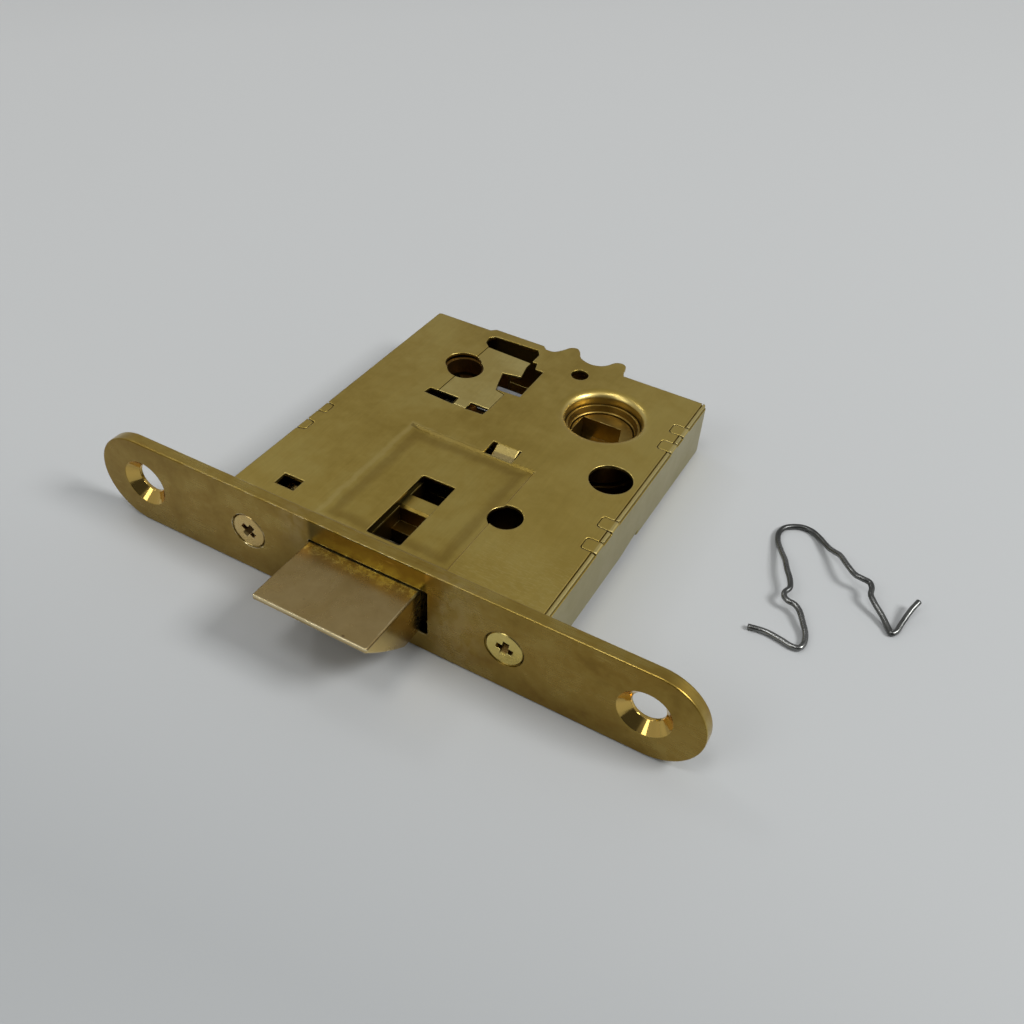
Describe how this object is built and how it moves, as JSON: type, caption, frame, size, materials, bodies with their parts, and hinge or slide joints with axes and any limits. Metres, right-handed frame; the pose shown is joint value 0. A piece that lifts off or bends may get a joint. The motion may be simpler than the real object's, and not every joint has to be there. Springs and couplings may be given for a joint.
{
  "type": "mortice latch",
  "caption": "Mortice latch: long round-ended faceplate, bevelled sliding bolt, folded brass case with its works inside, and a loose bent wire clip beside it.",
  "frame": {"origin": "middle of the whole set's footprint (lock and clip together) at the height of the faceplate's lowest edge", "axes": "+X along the faceplate towards the clip, +Y from the faceplate into the case, +Z out of the cover"},
  "size_m": [0.1536, 0.1002, 0.02],
  "materials": {
    "plate_brass": "satin brass with worn, slightly darkened edges",
    "case_brass": "dull rolled brass sheet with faint streaks",
    "light_brass": "paler brass sheet",
    "bolt_brass": "brushed brass, browned by handling",
    "inner_brass": "machined brass",
    "pink_brass": "reddish brass",
    "yellow_brass": "clean yellow brass",
    "zinc": "dull plated steel",
    "steel": "bare steel"
  },
  "bodies": {
    "lock_case": {"faceplate": "plate_brass", "case_tray": "case_brass", "cover_plate": "case_brass", "inset_plate": "light_brass", "left_face_screw": "pink_brass", "right_face_screw": "yellow_brass", "left_screw_lug": "inner_brass", "right_screw_lug": "inner_brass", "bolt_spring": "steel", "spring_post": "inner_brass", "bolt_guide_left": "inner_brass", "bolt_guide_right": "inner_brass", "hub_bush": "inner_brass", "return_spring": "steel", "spring_peg": "inner_brass", "privacy_bush": "inner_brass", "privacy_collar": "inner_brass", "slide_guide_pin": "inner_brass", "steel_retainer": "steel", "retainer_rivet": "inner_brass", "wire_clip": "steel"},
    "bolt": {"latch_bolt": "bolt_brass", "bolt_tail": "inner_brass", "tail_rivet_1": "pink_brass", "tail_rivet_2": "pink_brass"},
    "follower": {"follower_hub": "inner_brass", "drive_disc": "inner_brass"},
    "privacy": {"privacy_cam": "yellow_brass"},
    "slide": {"locking_slide": "zinc"}
  },
  "joints": [
    {"name": "bolt_slide", "type": "slide", "parent": "lock_case", "child": "bolt", "axis": [0, 1, 0], "range_m": [0, 0.0155], "stiffness_N_per_m": 300, "springref_m": -0.015, "deforming": ["bolt_spring"]},
    {"name": "follower_turn", "type": "hinge", "parent": "lock_case", "child": "follower", "pos_m": [0.00442, 0.02945, 0.009], "axis": [0, 0, -1], "range_deg": [0, 55.71], "deforming": ["return_spring"]},
    {"name": "privacy_turn", "type": "hinge", "parent": "lock_case", "child": "privacy", "pos_m": [-0.03028, 0.02925, 0.008], "axis": [0, 0, 1], "range_deg": [0, 60]},
    {"name": "locking_slide_travel", "type": "slide", "parent": "lock_case", "child": "slide", "axis": [1, 0, 0], "range_m": [0, 0.00621]}
  ],
  "couplings": [
    {"joint": "follower_turn", "follows": "bolt_slide", "rad_per_m": 62.677},
    {"joint": "locking_slide_travel", "follows": "privacy_turn", "m_per_rad": 0.0059206}
  ]
}
